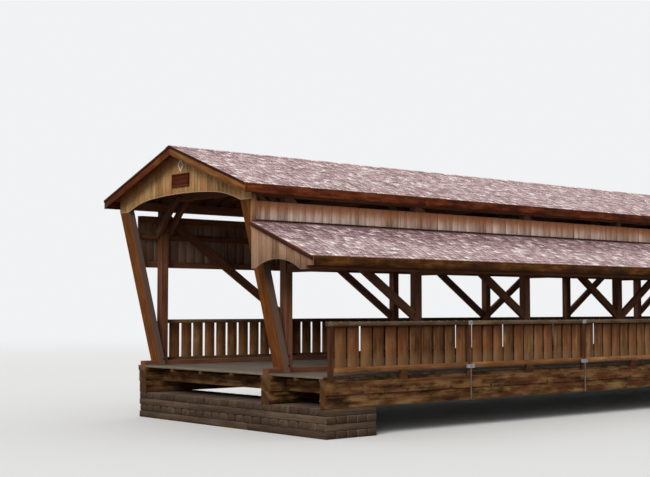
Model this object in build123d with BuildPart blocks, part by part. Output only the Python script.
from build123d import *
import math
import os

os.makedirs("parts", exist_ok=True)

# Driving sizes, millimetres. X runs along the bridge, Y across it towards the side
# without an aisle, Z up. The origin is on the ground, in the middle of the plan.
bay = 3780              # post to post along the bridge
bays = 6
end_run = 1386          # barge board face to the centre of the first post
nave_half = 2745        # half the width over the main eaves
aisle_reach = 1750      # lean-to eave out past the main eave
deck_z = 1200           # walking surface above the ground
pitch = 20.2            # main roof, degrees
shed_pitch = 21.2       # lean-to roof, degrees
eave_rise = 3840        # top of the main eave above the deck
shed_rise = 2340        # top of the lean-to eave above the deck

# Timber sizes
post = 190
post_inset = 400        # eave edge to post centre
board = 40              # barge, eave and railing boards
siding = 25             # gable and side wall boards
girt = 65
roof_thick = 35
barge_depth = 165
fascia_depth = 165
rafter_wide = 50
rafter_deep = 120
rafters_per_bay = 8
plate_deep = 190
plate_top = 3810        # above the deck
tie_deep = 190
tie_clear = 10          # tie beam ends to the roof over them
knee_deep = 150
knee_thick = 100
knee_reach = 830        # both ways, at 45 degrees
leg_half = 175
leg_deep = 165
leg_foot = 1210         # barge face to the front of the leg at the deck
brace_thick = 90
brace_deep = 190
brace_drop = 2370

# Gable
gable_set = 320         # barge face to the front of the gable boards
gable_lap = 90          # how far the gable boards hang below the top plates
arch_rise = 285
crown_half = 1200       # half width of the flat middle of the arch
crown_drop = 50         # its fall from the crown to where the tighter ends begin
header = 90
header_deep = 130
plaque = (650, 290)
plaque_up = 145         # arch crown to the name board
sign_thick = 30
emblem = (220, 300)
emblem_bar = 30
emblem_gap = 35         # name board to the emblem
emblem_thick = 15

# Side walls, heights above the deck
wall_inset = 200        # main eave edge to the outer face of the side boards
wall_top = 3500
clerestory_low = 2900
far_wall_low = 2286
girt_deep = 140
mid_girt_low = 2950
girt_start = 850        # barge face to the ends of the girts
far_wall_start = 800    # and of the far wall, behind the legs

# Lean-to
shed_plate = 140
shed_plate_low = 2065
shed_plate_deep = 225
shed_plate_inset = 210  # lean-to eave edge to the outer face of its plate
shed_rake = 280         # main barge face to the end of the lean-to roof
rake_trim = 60
arm = 140
arm_deep = 185
inner_foot_flat = 140   # feet of the end walls, on both sides of their small arch
outer_foot_flat = 180
foot_step = 50          # how much higher the inner foot is
shed_arch_rise = 220

# Floor, depths below the deck surface
plank = 45
joist_deep = 70
joist_inset = 30        # clear of the posts along the aisle's edge
beam_deep = 250
lower_deep = 255
beam_wide = 190
girder_wide = 300
beam_step = 25          # how far the lower timber is set back
curb = 100              # sill above the deck
edge_inset = 250        # lean-to eave edge to the outer face of the edge beams
deck_start = 850        # barge face to the end of the deck
crib_long = 1350

# Railing, heights above the deck
rail_start = 1000       # barge face to the centre of the first railing post
rail_post = 90
rail_top = 1060
rail_deep = 90
rail_wide = 110
low_rail = (60, 170)
low_rail_thick = 70
rail_boards = 11        # boards between two railing posts
rail_board = 280
rod = 34
bracket = 10
splice_half = 65        # half length of the plates on the top rail
hanger_half = 125       # and of the plates at the foot
hanger_down = 8         # from the lower edge of the bottom rail, down and up
hanger_up = 76

# Worked-out places
length = bays * bay + 2 * end_run
x_end = length / 2
nave_y = aisle_reach / 2
near = -1
far = 1
slope = math.tan(math.radians(pitch))
shed_slope = math.tan(math.radians(shed_pitch))
roof_drop = roof_thick / math.cos(math.radians(pitch))
shed_drop = roof_thick / math.cos(math.radians(shed_pitch))
rafter_drop = rafter_deep / math.cos(math.radians(pitch))
shed_rafter_drop = rafter_deep / math.cos(math.radians(shed_pitch))
post_o = nave_half - post_inset
post_in = post_o - post / 2
post_out = post_o + post / 2
wall_out = nave_half - wall_inset
wall_in = wall_out - siding
shed_edge = nave_half + aisle_reach
plate_low = plate_top - plate_deep
spring = plate_low - gable_lap
post_x = [(i - bays / 2) * bay for i in range(bays + 1)]
rafter_gap = bay / rafters_per_bay
rafter_count = 2 * int((x_end - gable_set - siding) / rafter_gap)
rafter_x = [(i - (rafter_count - 1) / 2) * rafter_gap for i in range(rafter_count)]
wall_end = x_end - gable_set
inner_end = wall_end - siding
deck_end = x_end - deck_start
edge_out = shed_edge - edge_inset
edge_in = edge_out - beam_wide
deck_edge = edge_out - rail_post
girder_in = post_o - girder_wide / 2
girder_out = post_o + girder_wide / 2
beam_top = deck_z - plank - joist_deep
beam_low = beam_top - beam_deep
crib_top = beam_low - lower_deep
shed_plate_out = shed_edge - shed_plate_inset
shed_plate_in = shed_plate_out - shed_plate


def across(side, inner, outer):
    # two distances from the ridge line, turned into a low and a high y
    return sorted((nave_y + side * inner, nave_y + side * outer))


def timber(xs, ys, zs):
    # a squared timber between two x, two y and two z
    with Locations(((xs[0] + xs[1]) / 2, (ys[0] + ys[1]) / 2, (zs[0] + zs[1]) / 2)):
        Box(xs[1] - xs[0], ys[1] - ys[0], zs[1] - zs[0])


def above(*heights):
    return [deck_z + h for h in heights]


def roof_z(offset):
    # top of the main roof over a distance from the ridge line
    return deck_z + eave_rise + (nave_half - offset) * slope


def shed_z(offset):
    # top of the lean-to roof over a distance from the main ridge line
    return deck_z + shed_rise + (shed_edge - offset) * shed_slope


def slab(side, inner, outer, top, deep, low=0):
    # corners of a sloping board that hangs "low" under a roof surface
    ends = [(inner, low), (outer, low), (outer, low + deep), (inner, low + deep)]
    return [(nave_y + side * o, top(o) - d) for o, d in ends]


def section(points, x0, long):
    # an outline across the bridge, drawn at x0 and pulled along the bridge
    with BuildSketch(Plane.YZ.offset(x0)) as outline:
        with BuildLine():
            Polyline(*points, close=True)
        make_face()
    extrude(outline.sketch, amount=long)


def elevation(points, ys):
    # an outline seen from the side, pulled across the bridge from ys[0] to ys[1]
    with BuildSketch(Plane.XZ.offset(-ys[1])) as outline:
        with BuildLine():
            Polyline(*points, close=True)
        make_face()
    extrude(outline.sketch, amount=ys[1] - ys[0])


# Timber cribs under both ends, from the ground up to the beams
crib_y = (nave_y - edge_out, nave_y + girder_out)
with BuildPart() as crib_left:
    timber((-deck_end, -deck_end + crib_long), crib_y, (0, crib_top))
with BuildPart() as crib_right:
    timber((deck_end - crib_long, deck_end), crib_y, (0, crib_top))

# Main beams, two timbers deep: under both rows of posts and along the aisle's edge
with BuildPart() as upper_beams:
    timber((-deck_end, deck_end), across(near, girder_in, girder_out), (beam_low, beam_top))
    timber((-deck_end, deck_end), across(far, girder_in, girder_out), (beam_low, beam_top))
    timber((-deck_end, deck_end), across(near, edge_in, edge_out), (beam_low, beam_top))
with BuildPart() as lower_beams:
    for side, inner, outer in ((near, girder_in, girder_out), (far, girder_in, girder_out),
                               (near, edge_in, edge_out)):
        timber((-deck_end, deck_end), across(side, inner, outer - beam_step), (crib_top, beam_low))

# Floor beams between the main beams, at every post and half way between
with BuildPart() as floor_beams:
    for i in range(2 * bays + 1):
        x = (i - bays) * bay / 2
        xs = (x - beam_wide / 2, x + beam_wide / 2)
        timber(xs, (nave_y - girder_in, nave_y + girder_in), (beam_low, beam_top))
        timber(xs, across(near, girder_out, edge_in), (beam_low, beam_top))

# Sills that carry the posts and stand above the deck as curbs
with BuildPart() as sills:
    for side in (near, far):
        timber((-deck_end, deck_end), across(side, post_in, post_out), (beam_top, deck_z + curb))

# Joists along the bridge, under the planks
joist_z = (beam_top, deck_z - plank)
joist = rail_post
with BuildPart() as joists:
    for inner in (-post_in, -(post_in + joist) / 2, -joist / 2, (post_in - joist) / 2, post_in - joist):
        timber((-deck_end, deck_end), across(far, inner, inner + joist), joist_z)
    for side, inner in ((far, post_out), (near, post_out), (near, (post_out + deck_edge - joist) / 2),
                        (near, deck_edge - joist - joist_inset)):
        timber((-deck_end, deck_end), across(side, inner, inner + joist), joist_z)

# Planked floors
deck_zs = (deck_z - plank, deck_z)
with BuildPart() as nave_deck:
    timber((-deck_end, deck_end), (nave_y - post_in, nave_y + post_in), deck_zs)
    timber((-deck_end, deck_end), across(far, post_out, wall_out), deck_zs)
with BuildPart() as aisle_deck:
    timber((-deck_end, deck_end), across(near, post_out, deck_edge), deck_zs)

# Posts, from the sills up to the top plates
post_zs = above(curb, plate_low)
with BuildPart() as posts_near:
    for x in post_x:
        timber((x - post / 2, x + post / 2), across(near, post_in, post_out), post_zs)
with BuildPart() as posts_far:
    for x in post_x:
        timber((x - post / 2, x + post / 2), across(far, post_in, post_out), post_zs)

# Long braces: each leaves the head of its outer post and falls towards mid-span
brace_angle = math.atan(brace_drop / (bay - post))
brace_edge = brace_deep / math.cos(brace_angle)


def brace_line(x, hand):
    # outline of the brace that falls from the post at x in the direction "hand"
    high = x + hand * post / 2
    low = x + hand * (bay - post / 2)
    top = deck_z + plate_low
    foot = top - brace_drop
    return [(high, top), (low, foot), (low, foot - brace_edge), (high, top - brace_edge)]


with BuildPart() as braces:
    for side in (near, far):
        for x in post_x:
            if x:
                elevation(brace_line(x, -1 if x > 0 else 1), across(side, post_out - brace_thick, post_out))

# Top plates and tie beams
plate_zs = above(plate_low, plate_top)
with BuildPart() as top_plates:
    for side in (near, far):
        timber((-inner_end, inner_end), across(side, post_in, post_out), plate_zs)


def tie_line():
    # a beam laid over both plates, its upper corners cut to the slope of the roof
    low, high = above(plate_top, plate_top + tie_deep)
    cut = roof_drop + tie_clear
    shoulder = nave_half - (high + cut - deck_z - eave_rise) / slope
    half = [(post_out, low), (post_out, roof_z(post_out) - cut), (shoulder, high)]
    return [(nave_y + o, z) for o, z in half] + [(nave_y - o, z) for o, z in reversed(half)]


with BuildPart() as tie_beams:
    for x in post_x:
        section(tie_line(), x - post / 2, post)

# Knee braces, in pairs that clasp a post and its tie beam
knee_half = knee_deep / math.sqrt(2)


def knee_line(side):
    # a band at 45 degrees from the post's centre up to the tie beam
    top = deck_z + plate_top + tie_deep / 2
    foot = top - knee_reach
    ends = [(post_o, foot - knee_half), (post_o, foot + knee_half),
            (post_o - knee_reach + knee_half, top), (post_o - knee_reach - knee_half, top)]
    return [(nave_y + side * o, z) for o, z in ends]


with BuildPart() as knee_braces:
    for side in (near, far):
        for x in post_x:
            section(knee_line(side), x - post / 2 - knee_thick, knee_thick)
            section(knee_line(side), x + post / 2, knee_thick)

# Portal legs: they lean from the gable back to the foot of the first post and straddle it
lean = (leg_foot - gable_set) / spring
leg_run = leg_deep * math.sqrt(1 + lean * lean)


def leg_line(end):
    # outline of a leg seen from the side, for the left end (-1) or the right end (1)
    back = gable_set - (plate_low - spring) * lean + leg_run
    ends = [(leg_foot, 0), (leg_foot + leg_run, 0), (back, plate_low),
            (gable_set + siding, plate_low), (gable_set + siding, spring), (gable_set, spring)]
    return [(end * (x_end - s), deck_z + h) for s, h in ends]


with BuildPart() as portal_legs:
    for side in (near, far):
        for end in (-1, 1):
            elevation(leg_line(end), across(side, post_o - leg_half, post_o + leg_half))
        # room for the end posts and the sills between the two cheeks of each leg
        for x in (post_x[0], post_x[-1]):
            with Locations((x, nave_y + side * post_o, deck_z + plate_low / 2)):
                Box(post, post, plate_low, mode=Mode.SUBTRACT)
        with Locations((0, nave_y + side * post_o, deck_z + curb / 2)):
            Box(length, post, curb, mode=Mode.SUBTRACT)


# Gable ends: vertical boards up to the roof, cut below to a low arch between the legs.
# The arch has three centres: a flat middle, and tighter ends that meet it smoothly.
def gable(x0):
    springing = post_o - leg_half
    low = deck_z + spring
    crown = low + arch_rise
    turn = 2 * math.atan(crown_drop / crown_half)
    eave = roof_z(wall_out) - roof_drop
    peak = roof_z(0) - roof_drop
    with BuildSketch(Plane.YZ.offset(x0)) as outline:
        with BuildLine():
            ThreePointArc((nave_y - crown_half, crown - crown_drop), (nave_y, crown),
                          (nave_y + crown_half, crown - crown_drop))
            for side in (near, far):
                TangentArc((nave_y + side * crown_half, crown - crown_drop),
                           (nave_y + side * springing, low), tangent=(side * math.cos(turn), -math.sin(turn)))
            Polyline((nave_y + springing, low), (nave_y + wall_out, low), (nave_y + wall_out, eave),
                     (nave_y, peak), (nave_y - wall_out, eave), (nave_y - wall_out, low),
                     (nave_y - springing, low))
        make_face()
    extrude(outline.sketch, amount=siding)


with BuildPart() as gable_walls:
    gable(-wall_end)
    gable(inner_end)

# Headers behind the gable boards, laid across the top plates
with BuildPart() as gable_headers:
    for x0 in (-inner_end, inner_end - header):
        timber((x0, x0 + header), (nave_y - post_o, nave_y + post_o),
               above(plate_top, plate_top + header_deep))


# Blank name boards, and a plain lozenge above each
plaque_low = spring + arch_rise + plaque_up


def gable_sign(x0):
    low, high = above(plaque_low, plaque_low + plaque[1])
    timber((x0, x0 + sign_thick), (nave_y - plaque[0] / 2, nave_y + plaque[0] / 2), (low, high))


def gable_lozenge(x0):
    middle = deck_z + plaque_low + plaque[1] + emblem[1] / 2 + emblem_gap
    with BuildSketch(Plane.YZ.offset(x0)) as outline:
        for grow, mode in ((0, Mode.ADD), (emblem_bar, Mode.SUBTRACT)):
            wide = emblem[0] / 2 - grow
            tall = emblem[1] / 2 - grow * emblem[1] / emblem[0]
            with BuildLine():
                Polyline((nave_y - wide, middle), (nave_y, middle + tall), (nave_y + wide, middle),
                         (nave_y, middle - tall), close=True)
            make_face(mode=mode)
    extrude(outline.sketch, amount=emblem_thick)


with BuildPart() as name_boards:
    gable_sign(-wall_end - sign_thick)
    gable_sign(wall_end)
with BuildPart() as emblems:
    gable_lozenge(-wall_end - emblem_thick)
    gable_lozenge(wall_end)

# Side walls: a strip of vertical boards under each main eave, deeper on the far side
with BuildPart() as clerestory_wall:
    timber((-wall_end, wall_end), across(near, wall_in, wall_out), above(clerestory_low, wall_top))
with BuildPart() as far_wall:
    timber((far_wall_start - x_end, x_end - far_wall_start), across(far, wall_in, wall_out),
           above(far_wall_low, wall_top))

# Girts between the posts and the boards
girt_end = x_end - girt_start
with BuildPart() as girts:
    for low in (clerestory_low, wall_top - girt_deep):
        timber((-girt_end, girt_end), across(near, post_out, wall_in), above(low, low + girt_deep))
    for low in (far_wall_low, mid_girt_low, wall_top - girt_deep):
        timber((-girt_end, girt_end), across(far, post_out, wall_in), above(low, low + girt_deep))

# Main roof: two slopes that meet at the ridge
with BuildPart() as nave_roof_near:
    section(slab(near, 0, nave_half, roof_z, roof_drop), -x_end, length)
with BuildPart() as nave_roof_far:
    section(slab(far, 0, nave_half, roof_z, roof_drop), -x_end, length)

# Eave boards, and barge boards that meet under the ridge
with BuildPart() as eave_boards:
    for side in (near, far):
        section(slab(side, nave_half - board, nave_half, roof_z, fascia_depth, roof_drop),
                board - x_end, length - 2 * board)
barge_drop = barge_depth / math.cos(math.radians(pitch))
with BuildPart() as barge_boards_near:
    for x0 in (-x_end, x_end - board):
        section(slab(near, 0, nave_half, roof_z, barge_drop, roof_drop), x0, board)
with BuildPart() as barge_boards_far:
    for x0 in (-x_end, x_end - board):
        section(slab(far, 0, nave_half, roof_z, barge_drop, roof_drop), x0, board)


# Rafters: one of each kind, notched over its plate, then set out along the bridge
def notched_rafter(side):
    section(slab(side, 0, nave_half - board, roof_z, rafter_drop, roof_drop), -rafter_wide / 2, rafter_wide)
    with Locations((0, nave_y + side * post_o, deck_z + plate_top - plate_deep / 2)):
        Box(2 * rafter_wide, post, plate_deep, mode=Mode.SUBTRACT)


with BuildPart() as one_near:
    notched_rafter(near)
with BuildPart() as one_far:
    notched_rafter(far)
with BuildPart() as one_shed:
    section(slab(near, wall_out, shed_edge - board, shed_z, shed_rafter_drop, shed_drop),
            -rafter_wide / 2, rafter_wide)
    with Locations((0, nave_y - (shed_plate_in + shed_plate_out) / 2,
                    deck_z + shed_plate_low + shed_plate_deep / 2)):
        Box(2 * rafter_wide, shed_plate, shed_plate_deep, mode=Mode.SUBTRACT)
with BuildPart() as rafters_near:
    with Locations(*[(x, 0, 0) for x in rafter_x]):
        add(one_near.part)
with BuildPart() as rafters_far:
    with Locations(*[(x, 0, 0) for x in rafter_x]):
        add(one_far.part)
with BuildPart() as shed_rafters:
    with Locations(*[(x, 0, 0) for x in rafter_x]):
        add(one_shed.part)

# Lean-to roof over the aisle, with its eave board and thin rake trims
shed_end = x_end - shed_rake
with BuildPart() as shed_roof:
    section(slab(near, wall_out, shed_edge, shed_z, shed_drop), -shed_end, 2 * shed_end)
with BuildPart() as shed_fascia:
    section(slab(near, shed_edge - board, shed_edge, shed_z, fascia_depth, shed_drop),
            -inner_end, 2 * inner_end)
with BuildPart() as shed_rake_trims:
    for x0 in (-shed_end, wall_end):
        section(slab(near, wall_out, shed_edge, shed_z, rake_trim, shed_drop), x0, shed_end - wall_end)

# Lean-to plate: the arms hold it out from the posts, and the rafters hold it up
with BuildPart() as shed_plate_beam:
    timber((-inner_end, inner_end), across(near, shed_plate_in, shed_plate_out),
           above(shed_plate_low, shed_plate_low + shed_plate_deep))
with BuildPart() as shed_arms:
    for x in post_x:
        timber((x - arm / 2, x + arm / 2), across(near, post_out, shed_plate_in),
               above(shed_plate_low, shed_plate_low + arm_deep))


# Lean-to end walls: boards cut to the roof above, and to a small arch between two feet below
def shed_gable(x0):
    inner_foot = wall_out + inner_foot_flat
    outer_foot = shed_plate_out - outer_foot_flat
    low = deck_z + shed_plate_low
    inner_low = low + foot_step
    step = deck_z + shed_rise - shed_drop - fascia_depth
    crown = ((inner_foot + outer_foot) / 2, low + shed_arch_rise)
    with BuildSketch(Plane.YZ.offset(x0)) as outline:
        with BuildLine():
            ThreePointArc((nave_y - outer_foot, low), (nave_y - crown[0], crown[1]),
                          (nave_y - inner_foot, inner_low))
            Polyline((nave_y - inner_foot, inner_low), (nave_y - wall_out, inner_low),
                     (nave_y - wall_out, shed_z(wall_out) - shed_drop),
                     (nave_y - shed_edge, shed_z(shed_edge) - shed_drop),
                     (nave_y - shed_edge, step), (nave_y - shed_plate_out, step),
                     (nave_y - shed_plate_out, low), (nave_y - outer_foot, low))
        make_face()
    extrude(outline.sketch, amount=siding)


with BuildPart() as shed_end_walls:
    shed_gable(-wall_end)
    shed_gable(inner_end)

# Aisle railing: posts on the edge beam, two rails and wide upright boards with slots between
rail_bay = (length - 2 * rail_start) / bays
rail_x = [(i - bays / 2) * rail_bay for i in range(bays + 1)]
rail_y = across(near, deck_edge, edge_out)
rail_mid = sum(rail_y) / 2
board_gap = (rail_bay - rail_post - rail_boards * rail_board) / (rail_boards + 1)
with BuildPart() as rail_posts:
    for x in rail_x:
        timber((x - rail_post / 2, x + rail_post / 2), rail_y, (beam_top, deck_z + rail_top - rail_deep))
    for x in rail_x[:-1]:
        mid = x + rail_bay / 2
        timber((mid - rail_post, mid + rail_post), rail_y, (beam_top, deck_z + low_rail[0]))
with BuildPart() as aisle_rails:
    timber((rail_x[0] - rail_post, rail_x[-1] + rail_post), (rail_mid - rail_wide / 2, rail_mid + rail_wide / 2),
           above(rail_top - rail_deep, rail_top))
    for x in rail_x[:-1]:
        timber((x + rail_post / 2, x + rail_bay - rail_post / 2),
               (rail_mid - low_rail_thick / 2, rail_mid + low_rail_thick / 2), above(*low_rail))
with BuildPart() as rail_boarding:
    for x in rail_x[:-1]:
        for i in range(rail_boards):
            x0 = x + rail_post / 2 + board_gap + i * (rail_board + board_gap)
            timber((x0, x0 + rail_board), (rail_mid - board / 2, rail_mid + board / 2),
                   above(low_rail[1], rail_top - rail_deep))

# Far railing: the same boards and rails, fixed outside the far posts
far_run = x_end - end_run - post / 2
far_y = across(far, post_out, wall_in)
far_pitch = rail_board + board_gap
far_boards = int(2 * far_run / far_pitch)
with BuildPart() as far_rails:
    timber((-far_run, far_run), far_y, above(rail_top - rail_deep, rail_top))
    timber((-far_run, far_run), far_y, above(*low_rail))
with BuildPart() as far_boarding:
    for i in range(far_boards):
        x0 = (i - far_boards / 2) * far_pitch + board_gap / 2
        timber((x0, x0 + rail_board), (far_y[0], far_y[0] + board), above(low_rail[1], rail_top - rail_deep))

# Steel at the inner railing posts: a splice plate on the top rail, and a hanger plate
# at the foot with a rod down the face of the edge beams
splice_y = rail_mid - rail_wide / 2
foot_y = rail_y[0]
hanger_zs = above(low_rail[0] - hanger_down, low_rail[0] + hanger_up)
with BuildPart() as rail_plates:
    for x in rail_x[1:-1]:
        timber((x - splice_half, x + splice_half), (splice_y - bracket, splice_y),
               above(rail_top - rail_deep, rail_top))
        timber((x - hanger_half, x + hanger_half), (foot_y - bracket, foot_y), hanger_zs)
with BuildPart() as hanger_rods:
    for x in rail_x[1:-1]:
        with Locations((x, foot_y - rod / 2, (crib_top + hanger_zs[0]) / 2)):
            Cylinder(rod / 2, hanger_zs[0] - crib_top)

nodes = {
    "crib_left": crib_left, "crib_right": crib_right,
    "upper_beams": upper_beams, "lower_beams": lower_beams, "floor_beams": floor_beams,
    "sills": sills, "joists": joists, "nave_deck": nave_deck, "aisle_deck": aisle_deck,
    "posts_near": posts_near, "posts_far": posts_far, "braces": braces,
    "top_plates": top_plates, "tie_beams": tie_beams, "knee_braces": knee_braces,
    "portal_legs": portal_legs, "gable_walls": gable_walls, "gable_headers": gable_headers,
    "name_boards": name_boards, "emblems": emblems,
    "clerestory_wall": clerestory_wall, "far_wall": far_wall, "girts": girts,
    "nave_roof_near": nave_roof_near, "nave_roof_far": nave_roof_far, "eave_boards": eave_boards,
    "barge_boards_near": barge_boards_near, "barge_boards_far": barge_boards_far,
    "rafters_near": rafters_near, "rafters_far": rafters_far,
    "shed_roof": shed_roof, "shed_fascia": shed_fascia, "shed_rake_trims": shed_rake_trims,
    "shed_rafters": shed_rafters, "shed_plate_beam": shed_plate_beam,
    "shed_arms": shed_arms, "shed_end_walls": shed_end_walls,
    "rail_posts": rail_posts, "aisle_rails": aisle_rails, "rail_boarding": rail_boarding,
    "rail_plates": rail_plates, "hanger_rods": hanger_rods, "far_rails": far_rails, "far_boarding": far_boarding,
}
for name, node in nodes.items():
    node.part.label = name
    export_step(node.part, f"parts/{name}.step")
